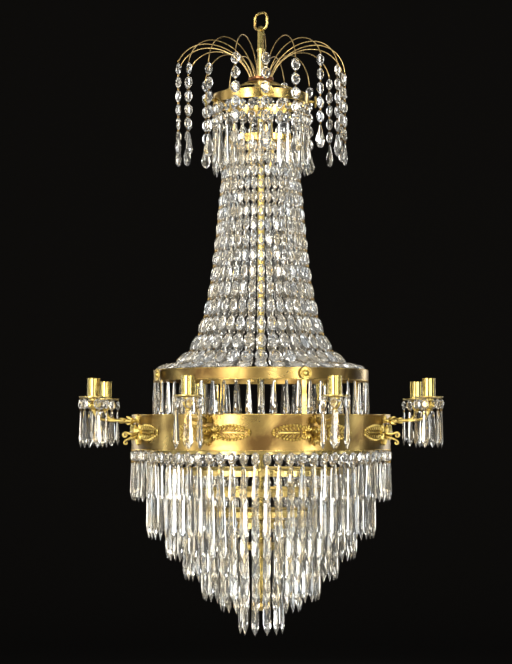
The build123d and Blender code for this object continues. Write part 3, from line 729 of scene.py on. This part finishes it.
def edge_lobe(step, side):
    """One of the lobes along a palm leaf's edge, which lean ever more towards its tip."""
    share = 0.06 + 0.86 * step / (EDGE_LOBES - 1)
    slant = 98 - 66 * share
    root = (LEAF_BASE + share * LEAF_LENGTH - 0.0028 * cos(radians(slant)),
            side * (leaf_edge(share) - 0.0058 * sin(radians(slant))), LEAF_FACE)
    return blade(root, in_plane(slant, side), UP, *LOBE_SIZE)


def leaf_rib(step, side):
    """One of the ribs from a palm leaf's middle out to its lobes."""
    share = 0.14 + 0.70 * step / (LEAF_RIBS - 1)
    slant = 62 - 24 * share
    reach = (leaf_edge(share + 0.06) - 0.0050) / sin(radians(slant))
    root = (LEAF_BASE + share * LEAF_LENGTH, side * RIB_ASIDE, LEAF_FACE)
    return blade(root, in_plane(slant, side), UP, reach, RIB_WIDTH, RIB_HEIGHT)


def midrib():
    """The rounded bar down a palm leaf's middle."""
    deselect()
    bpy.ops.mesh.primitive_cube_add(size=1, location=MIDRIB_PLACE)
    bpy.context.object.scale = MIDRIB_SIZE
    rib = settle()
    edit("SELECT")
    bpy.ops.mesh.bevel(offset=MIDRIB_EDGE, segments=2, affect="EDGES")
    leave_edit()
    return smooth(rib, 40)


def palmette():
    """The raised work of a long palm leaf, flat, growing along +X from the arm's middle line."""
    pieces = []
    for side in (1, -1):
        pieces += [edge_lobe(step, side) for step in range(EDGE_LOBES)]
        pieces += [leaf_rib(step, side) for step in range(LEAF_RIBS)]
    tip = (LEAF_BASE + LEAF_LENGTH * (1 - TIP_SHARE), 0, LEAF_FACE)
    pieces.append(blade(tip, OUT, UP, LEAF_LENGTH * TIP_SHARE, LEAFLET_WIDTH, LEAFLET_HEIGHT))
    for turn, reach in WHORL:
        pieces.append(blade(WHORL_PLACE, in_plane(turn), UP, reach, LEAFLET_WIDTH,
                            LEAFLET_HEIGHT))
    pieces.append(midrib())
    return join("palmette", pieces)


def palmette_ground():
    """The sunk ground of a palm leaf."""
    plate = leaf_plate(*GROUND_SIZE)
    plate.location = (GROUND_MIDDLE, 0, 0)
    return settle()


def arm_ground():
    """The plate behind the leafwork at the root of an arm."""
    plate = leaf_plate(*ARM_PLATE_SIZE)
    plate.rotation_euler = (pi / 2, 0, pi / 2)
    settle()
    plate.rotation_euler = (pi / 2, 0, 0)
    settle()
    plate.location = (BAND_R - ARM_PLATE_BITE, 0, ARM_PLATE_Z)
    return settle()


def on_band(name, right):
    """A leaf and its turned copy as a pair, bent round the band and repeated for each arm."""
    left = copy_of(right, Matrix.Rotation(pi, 4, "Z"))
    pair = join(name + "_pair", [right, left])
    pair.rotation_euler.x = pi / 2
    settle()
    wrap = pair.modifiers.new("wrap", "SIMPLE_DEFORM")
    wrap.deform_method = "BEND"
    wrap.deform_axis = "Z"
    wrap.angle = pair.dimensions.x / BAND_R
    bpy.ops.object.modifier_apply(modifier=wrap.name)
    pair.location = (0, -BAND_R, (BAND_TOP + BAND_BOTTOM) / 2)
    settle()
    pair.rotation_euler.z = pi / 2
    settle()
    return join(name, at_each_arm(pair))


def palmettes():
    """The pairs of palm leaves on the band, and the sunk grounds of all the chased work, in a
    darker gilt that is painted shade under the leaves.
    """
    finish_piece(on_band("palmettes", palmette()), CHASED, "cast_brass", "lamp", "band_leaves")
    plates = at_each_arm(arm_ground())
    grounds = join("chased_grounds", [on_band("palmette_grounds", palmette_ground()), *plates])
    finish_piece(grounds, PAINTED_SHADE_GROUND, "cast_brass", "lamp")


# ---- the arms: millimetres out and up from where a rod leaves the band ------------------------
# bars: out, up and radius at each knot
ROD = ((-9, 0, 4.0), (10, 0.5, 4.6), (24, -1.5, 4.0), (40, 1.0, 3.2), (56, 0.5, 2.8),
       (72, 2.0, 2.8), (85, 8.0, 3.0), (88, 20.0, 3.6), (88, 26.0, 3.6))
VOLUTE_HUB, VOLUTE_ROOT = (26, -27), ((1, -23, 3.0), (10, -25.5, 2.6))
VOLUTE_RADII = (2.2, 2.2, 2.2, 2.2, 2.0, 2.0, 2.0, 2.0, 2.2, 2.6)
TAIL = ((1, -29, 2.8), (10, -30.5, 2.4), (19, -33.5, 2.0), (27.5, -37.5, 1.7), (29, -42.5, 1.7),
        (24.5, -45, 1.6), (21.5, -42, 1.6), (23.5, -40, 1.9))
BAR_ROUNDNESS, BAR_SMOOTHNESS = 3, 6
# fans: out, up, growing along, facing, spread in degrees, leaves; length, width, height of a leaf
PLATE_FANS = ((0.5, -5, UP, OUT, 130, 7, 16.5, 6.2, 4.2),
              (0.5, -30, DOWN, OUT, 120, 7, 16.5, 6.2, 4.2),
              (3.5, -10, DOWN, OUT, 56, 3, 19, 6.2, 5.0))
TAIL_FANS = ((3, -28, OUT_AND_DOWN, RIGHT, 70, 3, 15, 4.8, 3.0),
             (3, -28, OUT_AND_DOWN, LEFT, 70, 3, 15, 4.8, 3.0))
FAN_SHORTER = 0.28                                # by how much the outer leaves are
# calyxes: out, up, axis, leaves, start off the axis, lean; length, width, height of a leaf
ROD_CALYXES = ((8, 0, (1, 0, 0.02), 6, 3.0, 0.22, 17, 6.4, 2.8),
               (24, 0, (1, 0, 0.05), 5, 2.6, 0.10, 14, 5.2, 2.2),
               (46, 1, (1, 0, 0.02), 4, 2.0, 0.06, 12, 4.0, 1.6))
FOOT_CALYX = (88, 21, UP, 8, 3.4, 0.48, 15, 5.6, 2.4)
# the foot of the cup: radius and height, of the bulb from its own foot and of the seat from its top
FOOT_Z = ROD_Z + 0.0175
BULB = ((3.0, 0), (5.2, 1.2), (5.2, 2.4), (3.6, 3.6), (4.6, 6.0), (7.4, 10.0), (8.0, 13.0),
        (6.2, 16.5), (4.6, 18.0), (7.0, 19.2), (8.8, 20.0))
SEAT = ((9.0, -2.8), (9.0, -0.6), (8.4, 0), (4.0, 0))
SPIGOT_R = 0.0040


def arm_place(out, up):
    """A place in the arm's middle plane."""
    return Vector((BAND_R + out * MM, 0, ROD_Z + up * MM))


def bar(knots):
    """A round bar along a smooth line, thicker or thinner from knot to knot."""
    deselect()
    bpy.ops.curve.primitive_nurbs_path_add()
    path = bpy.context.object
    spline = path.data.splines[0]
    spline.points.add(len(knots) - len(spline.points))
    for point, (out, up, radius) in zip(spline.points, knots):
        point.co = (*arm_place(out, up), 1)
        point.radius = radius * MM
    spline.order_u = 4
    spline.use_endpoint_u = True
    path.data.resolution_u = BAR_SMOOTHNESS
    path.data.bevel_depth = 1.0
    path.data.bevel_resolution = BAR_ROUNDNESS
    path.data.use_fill_caps = True
    bpy.ops.object.convert(target="MESH")
    return smooth(outwards(settle()))


def volute():
    """The scroll under the rod, which curls in round its hub."""
    knots = list(VOLUTE_ROOT)
    for step, thickness in enumerate(VOLUTE_RADII):
        turn, reach = radians(150 - 46 * step), 6.2 - 0.5 * step
        knots.append((VOLUTE_HUB[0] + reach * cos(turn), VOLUTE_HUB[1] + reach * sin(turn),
                      thickness))
    return bar(knots)


def fan(out, up, middle, front, spread, count, length, width, height):
    """Leaves spread round a middle direction, in the plane across the way that they face."""
    leaves = []
    for i in range(count):
        aside = i / (count - 1) - 0.5
        along = Matrix.Rotation(radians(spread) * aside, 3, Vector(front)) @ Vector(middle)
        share = 1 - FAN_SHORTER * abs(aside) * 2
        leaves.append(blade(arm_place(out, up), along, front, length * share * MM, width * MM,
                            height * MM))
    return leaves


def calyx(out, up, axis, count, start, lean, length, width, height):
    """Leaves round a stalk that open along its axis."""
    axis = Vector(axis).normalized()
    side = axis.orthogonal().normalized()
    leaves = []
    for i in range(count):
        away = Matrix.Rotation(2 * pi * i / count, 3, axis) @ side
        root = arm_place(out, up) + away * (start * MM)
        leaves.append(blade(root, axis + away * lean, away, length * MM, width * MM, height * MM))
    return leaves


def cup_foot():
    """The turned foot of a cup: a bulb, a seat and the spigot that the pan turns on."""
    profile = section(0, FOOT_Z, *BULB) + section(0, SEAT_TOP, *SEAT) + [(SPIGOT_R, CUP_BOTTOM)]
    foot = turned(profile, 20)
    foot.location.x = CUP_AXIS_R
    return smooth(settle(), 35)


def cast_arms():
    """The arms with their leafwork, modelled once, facing +X."""
    pieces = []
    for row in PLATE_FANS:
        pieces += fan(*row)
    pieces.append(bar(ROD))
    for row in ROD_CALYXES:
        pieces += calyx(*row)
    pieces += [volute(), bar(TAIL)]
    for row in TAIL_FANS:
        pieces += fan(*row)
    pieces.append(cup_foot())
    pieces += calyx(*FOOT_CALYX)
    for number, arm in enumerate(at_each_arm(join("cast_arm", pieces)), start=1):
        finish_piece(join(f"cast_arm_{number}", [arm]), CHASED, "cast_brass", "lamp",
                     f"arm_{number}")


# ---- turned brass: sections in millimetres, out and up from where they start -------------------
ROSETTE_COUNT = 4
# of each ring with rosettes: radius, height of its middle, first azimuth, length of the studs
ROSETTE_RINGS = ((CROWN_R, (CROWN_TOP + CROWN_BOTTOM) / 2, 6.0, 0.012),
                 (UPPER_R, (UPPER_TOP + UPPER_BOTTOM) / 2, 22.5, 0.003))
ROSETTE_DISC = ((10.5, 0), (12.0, 0.6), (12.0, 2.0), (11.3, 3.0), (10.0, 3.0), (9.0, 1.8),
                (6.0, 1.6), (5.4, 3.0), (4.2, 5.0), (2.2, 6.2), (0, 6.6))
ROSETTE_LEAVES, ROSETTE_LEAF_SIZE = 8, (0.0052, 0.0034, 0.0016)
ROSETTE_LEAF_R, ROSETTE_LEAF_Z, ROSETTE_SWIRL = 0.0048, 0.0012, 0.5
STUD_R, STUD_BEAD_R, STUD_BITE = 0.0022, 0.0031, 0.0005
# radius and share of its length back from the rosette, at each ring of a stud
STUD = ((STUD_R, 1), (STUD_R, 0.72), (STUD_BEAD_R, 0.66), (STUD_BEAD_R, 0.50), (STUD_R, 0.44))
COLLAR = ((15.0, 0), (20.5, 0.6), (24.2, 1.8), (25.0, 2.8), (25.0, 4.0), (23.8, 4.7),
          (24.6, 5.6), (24.6, 6.6), (23.8, 7.0), (12.0, 7.0), (10.5, 8.0), (9.0, 8.2))
CUP_LIP = ((-0.3, -0.2), (0.4, -0.1), (0.6, -1.0), (-0.3, -1.8))
CUP_FOOT = ((-0.4, 0.3), (1.0, 0.3), (1.2, 1.4), (0.4, 2.4), (-0.4, 2.6))
# radius, top, bottom and lip of each hoop with rolled edges
ROLLED_HOOPS = ((BAND_R, BAND_TOP, BAND_BOTTOM, 0.0009),
                (UPPER_R, UPPER_TOP, UPPER_BOTTOM, 0.0007),
                (CROWN_R, CROWN_TOP, CROWN_BOTTOM, 0.0006))
# corners of a rolled edge in parts of its lip: out from the wall, and in from the edge
ROLL = ((-1, 0.1), (0.4, 0.2), (1, 1.1), (0.5, 2.2), (-1, 2.6))


def rosette_model():
    """A round boss with a raised rim and a whorl of leaves, its back at the origin, facing +X."""
    pieces = [smooth(turned(section(0, 0, *ROSETTE_DISC), 32), 35)]
    for i in range(ROSETTE_LEAVES):
        turn = 2 * pi * i / ROSETTE_LEAVES
        root = (ROSETTE_LEAF_R * cos(turn), ROSETTE_LEAF_R * sin(turn), ROSETTE_LEAF_Z)
        along = (cos(turn + ROSETTE_SWIRL), sin(turn + ROSETTE_SWIRL), 0)
        pieces.append(blade(root, along, UP, *ROSETTE_LEAF_SIZE))
    rosette = join("rosette", pieces)
    rosette.rotation_euler.y = pi / 2
    return settle()


def stud_model(length):
    """The turned stud behind a rosette, with a bead round its middle."""
    stud = turned([(radius, -share * length) for radius, share in STUD] + [(STUD_R, STUD_BITE)], 12)
    stud.rotation_euler.y = pi / 2
    return smooth(settle(), 35)


def rosettes():
    """The rosettes on the crown ring and the upper ring."""
    rosette = rosette_model()
    copies = []
    for radius, height, first, length in ROSETTE_RINGS:
        stud = stud_model(length)
        for angle in azimuths(ROSETTE_COUNT, first):
            place = about_axis(angle, radius + length, height)
            copies += [copy_of(rosette, place), copy_of(stud, place)]
        drop_model(stud)
    drop_model(rosette)
    finish_piece(join("rosettes", copies), CHASED, "cast_brass", "lamp", "ring_rosettes")


def collar():
    """The turned collar that the fountain's wires spring from."""
    body = smooth(turned(section(0, COLLAR_BOTTOM, *COLLAR), 48), 35)
    body.name = "turned_collar"
    finish_piece(body, RED_BROWN, "polished_brass", "lamp", "fountain_collar")


def edge_rolls():
    """The fine rolled edges of the hoops and the band."""
    rolls = []
    for radius, top, bottom, lip in ROLLED_HOOPS:
        for edge, side in ((top, -1), (bottom, 1)):
            corners = [(radius + out * lip, edge + side * inwards * lip) for out, inwards in ROLL]
            rolls.append(smooth(hoop(corners, 128), 60))
    finish_piece(join("rolled_edges", rolls), POLISHED, "polished_brass", "lamp")


def cup_mouldings():
    """The turned lips and feet of the candle cups."""
    lip = hoop(section(CUP_R, CUP_TOP, *CUP_LIP), 32)
    foot = hoop(section(CUP_R, CUP_BOTTOM, *CUP_FOOT), 32)
    model = smooth(join("cup_rings", [lip, foot]), 40)
    mouldings = join("cup_mouldings", at_each_arm(model, CUP_AXIS_R))
    finish_piece(mouldings, CUP_BRASS, "polished_brass", "lamp")


def brass_work():
    palmettes()
    cast_arms()
    rosettes()
    collar()
    edge_rolls()
    cup_mouldings()


# ---- brass that stays as the frame has it ----------------------------------------------------
def dress_frame():
    """Gives each piece of the frame that stays in sight its material."""
    by_slot = {"polished_brass": POLISHED, "patinated_brass": PATINATED, "cast_brass": CHASED,
               "brass_wire": PALE_WIRE, "crystal": CRYSTAL}
    for part in frame["record"]["subparts"]:
        name = part["node"]
        own = by_slot[part["material_slot"]]
        if name == "stem":
            own = STEM_BRASS
        elif name == "candle_cups":
            own = CUP_BRASS
        elif name.startswith(("tier_ring_", "drip_pan_")) or name.endswith("_spider"):
            own = INNER
        materials = frame["nodes"][name].data.materials
        materials.clear()
        materials.append(own)


# ---- stage, light and camera -----------------------------------------------------------------
EYE_LEVEL = -0.804
CAMERA_DISTANCE = 3.395
CAMERA_SIDE = -0.0097         # the lamp's axis stands a little right of the frame's middle
CAMERA_PITCH = 3.04           # degrees up
CAMERA_LENS, CAMERA_SENSOR = 94.9, 36
FLOOR_Z, FLOOR_R = -2.1, 7
COVE_R, WALL_TOP = 2.5, 4.5   # the bend between the floor and the wall, and the wall's height
PAPER_COLOUR, WALL_COLOUR = (0.50, 0.49, 0.475, 1), (0.012, 0.011, 0.010, 1)
PAINTED_FALLOFF = (3.0, 6.5)       # distances between which the paper's colour falls off into the dark: a painted falloff of the light

WARM, PLAIN, COOL = (1.0, 0.95, 0.84), (1.0, 0.98, 0.93), (0.90, 0.95, 1.0)
# tall lights round the lamp: name, azimuth from the front, distance, width, power, colour
STANDING_LIGHTS = (("key_light", -30, 3.4, 0.9, 156, WARM),
                   ("fill_light", 40, 3.6, 0.4, 78, PLAIN),
                   ("near_left_light", -62, 3.4, 0.25, 32, PLAIN),
                   ("near_right_light", 13, 3.9, 0.25, 44, PLAIN),
                   ("left_light", -92, 3.2, 0.3, 18, COOL),
                   ("right_light", 88, 3.2, 0.3, 18, COOL),
                   ("back_left_light", -140, 3.4, 0.6, 24, WARM),
                   ("back_right_light", 142, 3.4, 0.6, 24, PLAIN))
STANDING_LOW, STANDING_HIGH = -1.7, 1.2
# lights over and under the lamp: name, place, aim, width, depth, power, colour
LEVEL_LIGHTS = (("top_light", (0, -0.8, 3.0), (0, 0, -0.4), 1.6, 1.6, 34, PLAIN),
                ("low_light", (0.3, -2.3, -1.9), (0, 0, -0.9), 2.4, 0.5, 16, WARM))
AIR_COLOUR, AIR_STRENGTH = (0.86, 0.86, 0.86, 1), 0.15


def studio_paper():
    """Pale paper under the lamp whose colour falls off into the dark towards the walls, a painted
    falloff of the light.
    """
    material, tree, shader, place = new_material("studio_paper", {"Roughness": 0.9,
                                                                  "Specular IOR Level": 0.1})
    parts = new_node(tree, "SeparateXYZ")
    across = new_node(tree, "CombineXYZ")
    distance = new_node(tree, "VectorMath", operation="LENGTH")
    # painted falloff of the light: the colour darkens from the paper's to the wall's with distance
    # from the lamp's axis
    fall = new_node(tree, "MapRange", {"From Min": PAINTED_FALLOFF[0], "From Max": PAINTED_FALLOFF[1]},
                    interpolation_type="SMOOTHSTEP")
    shade = new_node(tree, "Mix", {"A": PAPER_COLOUR, "B": WALL_COLOUR}, data_type="RGBA")
    connect(tree, (place, "Object", parts, "Vector"), (parts, "X", across, "X"),
            (parts, "Y", across, "Y"), (across, "Vector", distance, 0),
            (distance, "Value", fall, "Value"), (fall, "Result", shade, "Factor"),
            (shade, "Result", shader, "Base Color"))
    return material


def studio():
    """A pale round floor that curves up into a dark wall all round."""
    bend = [(FLOOR_R + COVE_R * sin(radians(a)), FLOOR_Z + COVE_R - COVE_R * cos(radians(a)))
            for a in range(10, 91, 10)]
    start_ring(FLOOR_R, FLOOR_Z, 96)
    draw_out([(FLOOR_R, FLOOR_Z), *bend, (FLOOR_R + COVE_R, WALL_TOP)])
    bpy.ops.mesh.delete(type="FACE")
    leave_edit()
    floor = bpy.context.object
    floor.name = "studio_floor"
    floor.data.materials.append(studio_paper())
    bpy.ops.object.shade_smooth()


def softbox(name, place, aim, width, height, power, colour):
    """A soft rectangular light that points at a place and isn't seen itself."""
    deselect()
    bpy.ops.object.light_add(type="AREA", location=place)
    lamp = bpy.context.object
    lamp.name = name
    lamp.data.shape = "RECTANGLE"
    lamp.data.size, lamp.data.size_y = width, height
    lamp.data.energy = power
    lamp.data.color = colour
    lamp.rotation_euler = (Vector(aim) - Vector(place)).to_track_quat("-Z", "Y").to_euler()
    lamp.visible_camera = False


def lights():
    """Tall softboxes round the lamp, one over and one under it, and a little light in the air."""
    middle = (STANDING_LOW + STANDING_HIGH) / 2
    for name, azimuth, distance, width, power, colour in STANDING_LIGHTS:
        turn = radians(azimuth - 90)
        place = (distance * cos(turn), distance * sin(turn), middle)
        softbox(name, place, (0, 0, middle), width, STANDING_HIGH - STANDING_LOW, power, colour)
    for row in LEVEL_LIGHTS:
        softbox(*row)
    world = bpy.data.worlds.new("studio_air")
    world.use_nodes = True
    air = world.node_tree.nodes["Background"]
    air.inputs["Color"].default_value = AIR_COLOUR
    air.inputs["Strength"].default_value = AIR_STRENGTH
    bpy.context.scene.world = world
    bpy.context.scene.view_settings.view_transform = "Standard"


def camera():
    """The eye, level with the band and looking up a little."""
    deselect()
    bpy.ops.object.camera_add(location=(CAMERA_SIDE, -CAMERA_DISTANCE, EYE_LEVEL),
                              rotation=(radians(90 + CAMERA_PITCH), 0, 0))
    eye = bpy.context.object
    eye.name = "photo_camera"
    eye.data.lens = CAMERA_LENS
    eye.data.sensor_width = CAMERA_SENSOR
    bpy.context.scene.camera = eye


camera()
studio()
lights()
dress_frame()
brass_work()
all_garlands()
for model in [*stones.values(), PIN, BLADE]:
    drop_model(model)
